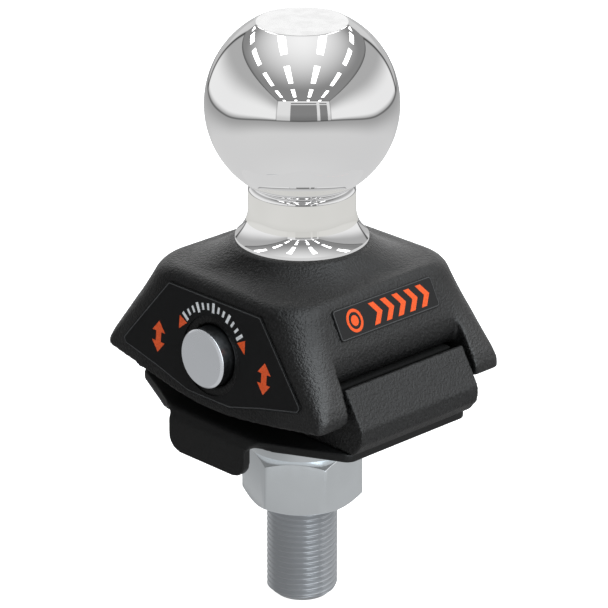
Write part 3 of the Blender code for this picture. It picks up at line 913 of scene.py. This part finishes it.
def plate_mesh():
    corners = [
        (PLATE_X, 0.0, 0),
        (PLATE_X, PLATE_CORNER_Y, PLATE_CORNER_R),
        (raked_x(BEND_Y), BEND_Y, 0),
    ]
    rear = mirrored(filleted(corners))
    outline = rear[:-1] + [(x, -y) for x, y in reversed(rear)][:-1]
    mesh = bmesh.new()
    top = [mesh.verts.new((x, y, PLATE_T)) for x, y in outline]
    low = [mesh.verts.new((x, y, 0.0)) for x, y in outline]
    mesh.faces.new(top)
    mesh.faces.new(list(reversed(low)))
    # the two edges on the bend lines stay open for the tabs
    opened = {}
    for k, n in around(len(outline)):
        if all(abs(abs(outline[i][1]) - BEND_Y) < 1e-6 for i in (k, n)):
            opened[1 if outline[k][1] > 0 else -1] = (top[k], top[n], low[n], low[k])
        else:
            mesh.faces.new((top[k], low[k], low[n], top[n]))
    for sign, ring in opened.items():
        for outer_y, outer_z, inner_y, inner_z, (far, near) in tab_stations():
            outer, inner = (sign * outer_y, outer_z), (sign * inner_y, inner_z)
            far_x, near_x = sign * far, -sign * near
            places = ((far_x, *outer), (near_x, *outer), (near_x, *inner), (far_x, *inner))
            new = tuple(mesh.verts.new(place) for place in places)
            bridge(mesh, ring, new)
            ring = new
        mesh.faces.new(ring)
    return mesh


plate = add_object("plate_skin", plate_mesh(), SHEET)
cut(plate, cutter(rod(SHANK_R + 0.4, -5, 6)), *dowel_holes(6))
soften(plate, voxel=0.42, rounds=4)
wear(plate, SHEET)
fit(plate, "anti_rotation_plate", "base")


# --- pin -----------------------------------------------------------------------------------
def pin_profile():
    """The ends are chamfered, with a small round at each edge of the chamfer."""
    half = [(0, PIN_HALF), (PIN_R - 0.7, PIN_HALF)]
    half += arc(PIN_R - 0.7, PIN_HALF - 0.2, 0.2, 90, 45, 3)[1:]
    half += arc(PIN_R - 0.2, PIN_HALF - 0.75, 0.2, 45, 0, 4)
    return [(radius, -y) for radius, y in half] + half[::-1]


pin = add_object("pin_skin", lathe(pin_profile(), 160, "Y", (0, 0, PIN_Z)), ZINC_PIN, sharp=25)
# the pin's round side wears the painted dark reflection
paint(pin, PIN_SIDE_PAINTED_DARK, lambda c: abs(c.y) < (PIN_HALF - 0.72) * MM)
fit(pin, "pivot_pin", "rocker")


# --- threaded stud ----------------------------------------------------------------------------
THREAD_DEPTH, THREAD_TOP, THREAD_FADE = 0.92, 1.0, 1.5
FLANK_START, FLANK = 0.10, 0.78  # shares of half a pitch: flat root, then flank
POINT_SLOPE = 1.12  # radius gained per height over the chamfered point
STUD_STEPS, TURN_STEPS = 96, 12  # round the shank, and rings to a pitch


def stud_mesh():
    """A V thread cut as a height field round the shank, with a chamfered point."""
    low = -SHANK_LEN
    heights = []
    z = low
    while z < THREAD_TOP:
        heights.append(z)
        z += PITCH / TURN_STEPS
    heights += [THREAD_TOP + 0.5, THREAD_TOP + 1.5, SHANK_TOP - 1.0]
    turns = [2 * math.pi * k / STUD_STEPS for k in range(STUD_STEPS)]
    mesh = bmesh.new()
    rings = []
    for z in heights:
        ring = []
        for a in turns:
            phase = (z / PITCH - a / (2 * math.pi)) % 1.0
            height = abs(phase - 0.5) * 2  # 1 at the crest
            height = min(1.0, max(0.0, (height - FLANK_START) / FLANK))
            fade = min(1.0, max(0.0, (THREAD_TOP - z) / THREAD_FADE))
            radius = SHANK_R - THREAD_DEPTH * (1 - height) * fade
            radius = min(radius, SHANK_R - SHANK_CHAMFER + (z - low) * POINT_SLOPE)
            ring.append(mesh.verts.new((*polar(radius, a), z)))
        rings.append(ring)
    rings.append([mesh.verts.new((*polar(SHANK_R - 1, a), SHANK_TOP)) for a in turns])
    for ring, above in zip(rings, rings[1:]):
        bridge(mesh, ring, above)
    for ring, z, flip in ((rings[0], low, True), (rings[-1], SHANK_TOP, False)):
        centre = mesh.verts.new((0, 0, z))
        for k, n in around(STUD_STEPS):
            pair = (ring[n], ring[k]) if flip else (ring[k], ring[n])
            mesh.faces.new((*pair, centre))
    return mesh


stud = add_object("stud_skin", stud_mesh(), ZINC_STUD, sharp=50)
fit(stud, "mounting_stud", "base")


# --- nut and lock washer ---------------------------------------------------------------------------
NUT_LOW = NUT_TOP - NUT_H
NUT_CORNER_R = NUT_FLATS / math.sqrt(3)
FACE_TOP_R, FACE_LOW_R = NUT_FLATS / 2 - 1.6, NUT_FLATS / 2 - 0.8
MOUTH, MOUTH_DEPTH = 1.9, 1.4  # the bore's countersinks, radius over the shank's and depth
WASHER_BORE_R = SHANK_R + 0.35


def nut_chamfers():
    """The turned shape that trims the hexagon's corners at 30 degrees."""
    slope = math.tan(math.radians(30))
    reach = NUT_CORNER_R + 1.0
    return [
        (0, NUT_LOW - 0.5),
        (FACE_LOW_R - 0.5 / slope, NUT_LOW - 0.5),
        (reach, NUT_LOW + (reach - FACE_LOW_R) * slope),
        (reach, NUT_TOP - (reach - FACE_TOP_R) * slope),
        (FACE_TOP_R - 0.5 / slope, NUT_TOP + 0.5),
        (0, NUT_TOP + 0.5),
    ]


def nut_bore():
    bore, mouth = SHANK_R + GAP, SHANK_R + MOUTH
    return [
        (0, -40),
        (mouth, -40),
        (mouth, NUT_LOW),
        (bore, NUT_LOW + MOUTH_DEPTH),
        (bore, NUT_TOP - MOUTH_DEPTH),
        (mouth, NUT_TOP),
        (mouth, 5),
        (0, 5),
    ]


def washer_split(middle_z):
    """A slanting slab that cuts the ring through on its left side."""
    mesh = prism([(8.0, -0.9), (18.0, -0.9), (18.0, 0.9), (8.0, 0.9)], -8.0, 8.0)
    for degrees, axis in ((35, "X"), (150, "Z")):
        turn = Matrix.Rotation(math.radians(degrees), 3, axis)
        bmesh.ops.rotate(mesh, cent=(0, 0, 0), matrix=turn, verts=mesh.verts)
    bmesh.ops.translate(mesh, vec=(0, 0, middle_z), verts=mesh.verts)
    return mesh


hexagon = [polar(NUT_CORNER_R, NUT_TURN + math.radians(60 * k)) for k in range(6)]
nut = add_object("nut_skin", prism(hexagon, NUT_LOW, NUT_TOP), ZINC)
cut(nut, cutter(lathe(nut_chamfers(), 192)), operation="INTERSECT")
cut(nut, cutter(lathe(nut_bore(), 128)))
rounded(nut, width=0.22)
wear(nut, ZINC)
fit(nut, "hex_nut", "nut")

washer_low = NUT_TOP + GAP
washer_high = washer_low + WASHER_T
washer_ring = [(WASHER_BORE_R, washer_low), (WASHER_R, washer_low)]
washer_ring += [(WASHER_R, washer_high), (WASHER_BORE_R, washer_high)]
washer = add_object("washer_skin", lathe(washer_ring, closed=True), ZINC)
cut(washer, cutter(washer_split(washer_low + WASHER_T / 2)))
rounded(washer, width=0.25)
wear(washer, ZINC)
fit(washer, "lock_washer", "washer")


# --- cushions ---------------------------------------------------------------------------------------
CUSHION_HALF_Y, CUSHION_PULL = 20.9, 0.6
CUSHION_X, CUSHION_BOTTOM, CUSHION_LIP = BARREL_R + 0.6, 8.95, LIP_Z - GAP - 0.1
# (x, z, corner radius) of the right-hand cushion
CUSHION = [
    (CUSHION_X, CUSHION_BOTTOM, 2.0),
    (33.4, CUSHION_BOTTOM, 1.6),
    (33.4, 16.9, 1.0),
    (35.5, CUSHION_LIP, 0.5),
    (30.8, CUSHION_LIP, 0.5),
    (30.8, 21.1, 1.2),
    (25.2, 30.0, 2.4),
    (19.4, 31.9, 3.0),
    (CUSHION_X, 23.9, 3.0),
]

for side, sign in (("left", -1), ("right", 1)):
    outline = [(sign * x, z) for x, z in filleted(CUSHION, 8)]
    block = prism(outline, -CUSHION_HALF_Y, CUSHION_HALF_Y, "Y")
    cushion = add_object("cushion_" + side + "_rubber", block, RUBBER)
    soften(cushion, voxel=0.5, rounds=8)
    box_low, box_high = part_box("cushion_" + side)
    # the front and rear faces draw in towards the top and bottom
    for v in cushion.data.vertices:
        t = (v.co.z - box_low.z) / (box_high.z - box_low.z)
        pull = CUSHION_PULL * MM * (2 * t - 1) ** 2
        v.co.y -= math.copysign(pull, v.co.y) * (abs(v.co.y) / (CUSHION_HALF_Y * MM)) ** 4
    wear(cushion, RUBBER)
    fit(cushion, "cushion_" + side, "base")
    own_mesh(cushion)


# --- labels ---------------------------------------------------------------------------------------------
LABEL_GAP, LABEL_T, LABEL_RIM = 0.1, 0.25, 0.06
LABEL_TOP = LABEL_GAP + LABEL_T
INK, INK_SINK = 0.04, 0.02  # printed marks: height over the label, and depth into it
LABEL_HOLE_R = 10.6
# (x, z, corner radius) of the right half of a side label
SIDE_LABEL = [
    (17.3, 36.9, 1.2), (33.9, 16.9, 1.2), (32.6, 15.4, 1.5), (19.5, 12.5, 6.0), (8.0, 9.4, 6.0),
]
# (across, z, corner radius) of half an end label
END_LABEL = [(18.0, 38.0, 1.0), (18.0, 30.5, 1.0)]
END_MIDDLE_Z = 34.25
RING_X, CHEVRON_X, CHEVRON_PITCH = -11.6, -5.6, 4.3
# (across, up) from a chevron's start
CHEVRON = [(0, 2.6), (1.9, 2.6), (4.0, 0), (1.9, -2.6), (0, -2.6), (2.1, 0)]


def side_map(sign):
    """Lays (x, height over the face, z) on a side face."""
    return lambda x, out, z: Vector((x, sign * (side_face_y(z) + out), z + out * SIDE_DRAFT))


def end_map(sign):
    """Lays (distance across, height over the face, z) on an end face."""
    return lambda y, out, z: Vector(
        (sign * (end_face_x(z) + out), sign * y, z + out * END_SLOPE)
    )


def flat_piece(name, loops, lay, mat, hole=None):
    """A thin piece through loops of (outline, height); hole is a second outline."""
    mesh = bmesh.new()

    def ring(outline, height):
        return [mesh.verts.new(lay(x, height, z)) for x, z in outline]

    rings = [ring(*loop) for loop in loops]
    for below, above in zip(rings, rings[1:]):
        bridge(mesh, below, above)
    first, last = rings[0], rings[-1]
    if hole is None:
        mesh.faces.new(list(reversed(first)))
        mesh.faces.new(last)
    else:
        low, high = [ring(hole, height) for height in (loops[0][1], loops[-1][1])]
        for k, n in around(len(hole)):
            mesh.faces.new((low[n], low[k], high[k], high[n]))
            mesh.faces.new((first[n], first[k], low[k], low[n]))
            mesh.faces.new((last[k], last[n], high[n], high[k]))
    ob = add_object(name, mesh, mat, sharp=35)
    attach(ob, "rocker")
    return ob


def print_mark(name, outline, lay, mat=ORANGE, hole=None):
    loops = [(outline, LABEL_TOP - INK_SINK), (outline, LABEL_TOP + INK)]
    flat_piece(name, loops, lay, mat, hole)


def double_arrow(centre_x, centre_z, width, height):
    """A plain two-headed arrow standing upright."""
    stem, neck = width * 0.2, height / 2 - height * 0.34
    half = [(0, height / 2), (width / 2, neck), (stem, neck)]
    half += [(x, -z) for x, z in reversed(half)]
    return [(centre_x + x, centre_z + z) for x, z in mirrored(half)]


def on_dial(degrees, radius, aside):
    """A point by angle and radius about the pin, stepped aside clockwise in x and z."""
    x, z = polar(1, math.radians(degrees))
    return radius * x + aside * z, PIN_Z + radius * z - aside * x


def disc(radius):
    points = [polar(radius, 2 * math.pi * k / 48) for k in range(48)]
    return [(RING_X + x, END_MIDDLE_Z + z) for x, z in points]


side_full = filleted(mirrored(SIDE_LABEL), 6)
for side, sign in (("front", -1), ("rear", 1)):
    name = "side_label_" + side
    lay = side_map(sign)
    mesh = prism(side_full, LABEL_GAP, LABEL_TOP, "Y")
    for v in mesh.verts:
        v.co = lay(*v.co)
    label = add_object(name + "_face", mesh, VINYL, sharp=35)
    low, high = sorted((sign * 25.0, sign * 45.0))
    cut(label, pin_hole(LABEL_HOLE_R, low, high, 128))
    shade(label, sharp=35)
    wear(label, VINYL)
    fit(label, name, "rocker")
    print_mark(name + "_border", inset(side_full, 0.25), lay, LINE, hole=inset(side_full, 0.55))
    for tag, hand in (("a", -1), ("b", 1)):
        arrow = double_arrow(hand * 20.0, 21.0, width=4.8, height=8.6)
        print_mark(name + "_arrow_" + tag, arrow, lay)
        # a triangle beyond each end of the row of ticks
        pointer = [
            on_dial(90 - hand * 64, 12.9 + out, along * hand)
            for along, out in ((-1.5, -1.6), (-1.5, 1.6), (1.9, 0.0))
        ]
        print_mark(name + "_pointer_" + tag, pointer, lay)
    for k in range(13):
        inner, outer, half = (11.6, 14.3, 0.45) if k % 3 == 0 else (12.1, 13.9, 0.36)
        ends = ((inner, -half), (inner, half), (outer, half), (outer, -half))
        tick = [on_dial(90 + 52 * (k - 6) / 6, radius, aside) for radius, aside in ends]
        print_mark(name + "_tick_%02d" % k, tick, lay, PALE)

end_full = filleted(mirrored(END_LABEL), 6)
for side, sign in (("left", -1), ("right", 1)):
    name = "end_label_" + side
    lay = end_map(sign)
    loops = [(end_full, LABEL_GAP), (end_full, LABEL_TOP - LABEL_RIM)]
    loops.append((inset(end_full, LABEL_RIM), LABEL_TOP))
    label = flat_piece(name + "_face", loops, lay, VINYL)
    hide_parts(name)
    print_mark(name + "_border", inset(end_full, 0.22), lay, LINE, hole=inset(end_full, 0.42))
    print_mark(name + "_ring", disc(2.75), lay, hole=disc(2.0))
    print_mark(name + "_dot", disc(1.25), lay)
    for k in range(5):
        start = CHEVRON_X + CHEVRON_PITCH * k
        chevron = [(start + x, END_MIDDLE_Z + z) for x, z in CHEVRON]
        print_mark(name + "_chevron_%d" % k, chevron, lay)


# --- bushings, thrust washers and dowels keep their CAD shapes ------------------------------------
for piece, mat in (
    ("pivot_bushing_front", BRONZE),
    ("pivot_bushing_rear", BRONZE),
    ("thrust_washer_front", BRONZE),
    ("thrust_washer_rear", BRONZE),
    ("plate_dowel_left", ZINC),
    ("plate_dowel_right", ZINC),
):
    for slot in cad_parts[piece].material_slots:
        slot.material = mat


# --- stage: floor, room light and camera (metres) ----------------------------------------------------
AZIMUTH, ELEVATION = math.radians(45.86), math.radians(22.01)
TOWARDS = Vector((math.sin(AZIMUTH), -math.cos(AZIMUTH), 0))  # level, towards the camera
RIGHTWARDS = Vector((math.cos(AZIMUTH), math.sin(AZIMUTH), 0))  # to the camera's right


def floor():
    """A pale disc, brighter to the camera and unseen in reflections."""
    mesh = bmesh.new()
    bmesh.ops.create_circle(mesh, cap_ends=True, radius=6.0, segments=96)
    data = bpy.data.meshes.new("floor")
    mesh.to_mesh(data)
    mesh.free()
    ob = bpy.data.objects.new("floor", data)
    bpy.context.scene.collection.objects.link(ob)
    ob.location.z = -0.0002
    mat = bpy.data.materials.new("pale_floor")
    mat.use_nodes = True
    nodes = Nodes(mat.node_tree)
    mat.node_tree.nodes.clear()
    out = nodes.new("ShaderNodeOutputMaterial")
    path = nodes.new("ShaderNodeLightPath")
    diffuse = nodes.new("ShaderNodeBsdfDiffuse")
    diffuse.inputs["Color"].default_value = (0.86, 0.86, 0.86, 1)
    glow = nodes.emission(strength=nodes.math("MULTIPLY", path.outputs["Is Camera Ray"], 0.9))
    add = nodes.new("ShaderNodeAddShader")
    nodes.put(add.inputs[0], diffuse.outputs[0])
    nodes.put(add.inputs[1], glow)
    nodes.put(out.inputs["Surface"], add.outputs[0])
    data.materials.append(mat)
    ob.visible_glossy = False
    ob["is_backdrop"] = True


# the hall, in ceiling heights over the eye
CEILING = 1.0
FRONT_WALL, BACK_WALL, LEFT_WALL, RIGHT_WALL = 2.475, 2.5, 1.42, 1.65
ROW_PITCH, ROW_HALF, ROWS_REACH = 0.65, 0.104, 1.3  # ROW_HALF is a share of the pitch
STRIP_PITCH, STRIP_SHIFT, STRIP_SHARE, STRIP_LIGHT = 0.92, 0.45, 0.66, 4.0
POSITIVE = 100.0  # whole pitches added so that FRACT never sees a negative
GLOW_CENTRE, GLOW_STRETCH = -0.2, 1.6  # the ceiling's brightest spot
TINY = 1e-4
# levels of the soft tent's parts
ARCH_LEVEL, RIGHT_LEVEL, TOP_LEVEL, BACK_LEVEL, LEFT_SHADE = 2.6, 0.82, -0.10, 0.84, 0.45


def hall(nodes, toward, right, up):
    """What the polished chrome mirrors: ceiling strips, pale walls, a dark opening, a floor."""
    calc, span, choose = nodes.math, nodes.span, nodes.choose

    def band(value, low, high):
        return (value > low) * (value < high)

    toward_size = calc("MAXIMUM", abs(toward), TINY)
    right_size = calc("MAXIMUM", abs(right), TINY)
    is_right = right > 0.0
    is_front = toward > 0.0
    # the floor meets the wall on the camera's side higher up than the far one
    rise = up - span(toward, over=(-0.15, 1.15), gives=(-0.205, -0.02))
    above = rise > 0.0
    width = choose(is_right, RIGHT_WALL, LEFT_WALL)
    length = choose(is_front, FRONT_WALL, BACK_WALL)
    # distances along the ray to each surface
    to_ceiling = CEILING / calc("MAXIMUM", up, TINY)
    to_side = width / right_size
    to_end = length / toward_size
    to_wall = calc("MINIMUM", to_side, to_end)
    is_ceiling = to_ceiling < to_wall
    is_end = to_end < to_side

    along, across = toward * to_ceiling, right * to_ceiling
    row = abs(calc("FRACT", across / ROW_PITCH + POSITIVE) - 0.5) < ROW_HALF
    column = calc("FRACT", (along + STRIP_SHIFT) / STRIP_PITCH + POSITIVE) < STRIP_SHARE
    strip = row * column * (abs(across) < ROWS_REACH)
    spread = calc(
        "SQRT",
        (along - GLOW_CENTRE) * (along - GLOW_CENTRE) + across * across * GLOW_STRETCH,
    )
    tint = span(spread, over=(0.0, 1.8), gives=(0.97, 0.25))
    edge = span(to_wall - to_ceiling, over=(0.0, 0.16), gives=(0.45, 1.0))
    ceiling = tint * edge * (1.0 - strip) + strip * STRIP_LIGHT

    # side walls: lighter half way up, darker where they meet the floor
    height = up * to_wall
    over_floor = rise * to_wall
    side = span(over_floor, over=(0.0, 0.14), gives=(0.36, 0.87))
    side = side * span(over_floor, over=(0.40, 1.05), gives=(1.0, 0.50))
    # the opening in the front end wall, crossed by a lintel
    end_across = right * to_end
    door = calc("MAXIMUM", band(end_across, -0.60, 0.78), band(end_across, 0.95, 1.42))
    door = door * (height < 0.90)
    lintel = door * band(height, 0.78, 0.83)
    door = (door - lintel) * is_front
    end = choose(door, 0.30, 1.0) * span(height, over=(0.0, 0.3), gives=(0.62, 0.78))
    end = end * choose(is_front, 1.0, 0.85)
    walls = end * is_end + side * (1.0 - is_end)
    corner = span(
        abs(to_side - to_end),
        over=(0.0, choose(is_front, 0.12, 0.50)),
        gives=(choose(is_front, 0.60, 0.10), 1.0),
    )
    walls = walls * corner
    upper = ceiling * is_ceiling + walls * (1.0 - is_ceiling)

    down = rise * -1.0
    ground = span(down, over=(0.0, 0.28), gives=(0.36, 0.66))
    ground = ground + span(down, over=(0.5, 1.0), gives=(0.0, 0.06))
    total = upper * above + ground * (1.0 - above)
    return total * span(abs(rise), over=(0.004, 0.022), gives=(0.45, 1.0))


def soft_tent(nodes, direction, toward, right, up):
    """What lights everything but the polished chrome, and its bright arch."""
    span = nodes.span

    def lobe(axis, inner, outer, level):
        """A soft round patch, full within the inner angle and gone past the outer."""
        facing = nodes.dot(direction, tuple(axis.normalized()))
        limits = (math.cos(math.radians(outer)), math.cos(math.radians(inner)))
        return span(facing, over=limits, gives=(0.0, level))

    # from the front horizon up over the top, with dark flanks
    leaning = right + span(up, over=(0.35, 0.8), gives=(0.0, 0.18))
    arch = span(leaning, over=(0.02, 0.30)) * span(right, over=(0.45, 0.92), gives=(1.0, 0.0))
    arch = arch * span(toward, over=(-0.35, 0.10))
    arch = arch * span(up, over=(-0.30, 0.02), gives=(0.0, ARCH_LEVEL))
    back_axis = -TOWARDS * math.cos(ELEVATION) + Vector((0, 0, math.sin(ELEVATION)))
    back = lobe(back_axis, inner=16, outer=52, level=BACK_LEVEL)
    right_wall = lobe(RIGHTWARDS + Vector((0, 0, 0.62)), inner=12, outer=46, level=RIGHT_LEVEL)
    tent = span(up, over=(-0.6, 0.0), gives=(0.34, 0.28))
    tent = tent + span(up, over=(0.5, 0.98), gives=(0.0, TOP_LEVEL))
    tent = tent * (1.0 - lobe(-RIGHTWARDS, inner=20, outer=80, level=LEFT_SHADE))
    return (tent + arch) + (back + right_wall), arch


def room():
    """The world: the hall to mirror rays, white to the camera, the tent to all else."""
    world = bpy.data.worlds.new("hall")
    bpy.context.scene.world = world
    world.use_nodes = True
    nodes = Nodes(world.node_tree)
    world.node_tree.nodes.clear()
    out = nodes.new("ShaderNodeOutputWorld")
    direction = nodes.new("ShaderNodeTexCoord").outputs["Generated"]
    axes = [nodes.dot(direction, axis) for axis in (TOWARDS, RIGHTWARDS, (0, 0, 1))]

    def background(channels):
        colour = nodes.new("ShaderNodeCombineColor")
        for socket, value in zip(colour.inputs, channels):
            nodes.put(socket, value)
        node = nodes.new("ShaderNodeBackground")
        nodes.put(node.inputs["Color"], colour.outputs[0])
        return node.outputs[0]

    mirrored_hall = background([hall(nodes, *axes)] * 3)
    tent, arch = soft_tent(nodes, direction, *axes)
    blue_cast = (0.0, 0.06, 0.10)  # the arch's extra red, green and blue
    soft = background([nodes.math("MULTIPLY_ADD", arch, extra, tent) for extra in blue_cast])
    plain = nodes.new("ShaderNodeBackground")
    plain.inputs["Color"].default_value = (1.0, 1.0, 1.0, 1)
    path = nodes.new("ShaderNodeLightPath").outputs
    lighting = nodes.mix(path["Is Singular Ray"], soft, mirrored_hall)
    seen = nodes.mix(path["Is Camera Ray"], lighting, plain.outputs[0])
    nodes.put(out.inputs["Surface"], seen)


CAMERA_DISTANCE = 1.0172
CAMERA_SHIFT = 0.0005006943  # aim to the right of the ball's axis
AIM_HEIGHT = 26.64  # millimetres over the plate's underside


def camera():
    cam = bpy.data.cameras.new("camera")
    cam.sensor_width = 36.0
    cam.lens = 228.552632
    cam.clip_start, cam.clip_end = 0.01, 50
    ob = bpy.data.objects.new("camera", cam)
    bpy.context.scene.collection.objects.link(ob)
    level = math.cos(ELEVATION)
    back = Vector(
        (math.sin(AZIMUTH) * level, -math.cos(AZIMUTH) * level, math.sin(ELEVATION))
    )
    target = to_row(0, 0, AIM_HEIGHT) + RIGHTWARDS * CAMERA_SHIFT
    ob.location = target + back * CAMERA_DISTANCE
    ob.rotation_mode = "QUATERNION"
    ob.rotation_quaternion = (-back).to_track_quat("-Z", "Y")
    bpy.context.scene.camera = ob


floor()
room()
camera()
bpy.context.scene.view_settings.view_transform = "Standard"
bpy.context.scene.view_settings.look = "None"

low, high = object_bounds()
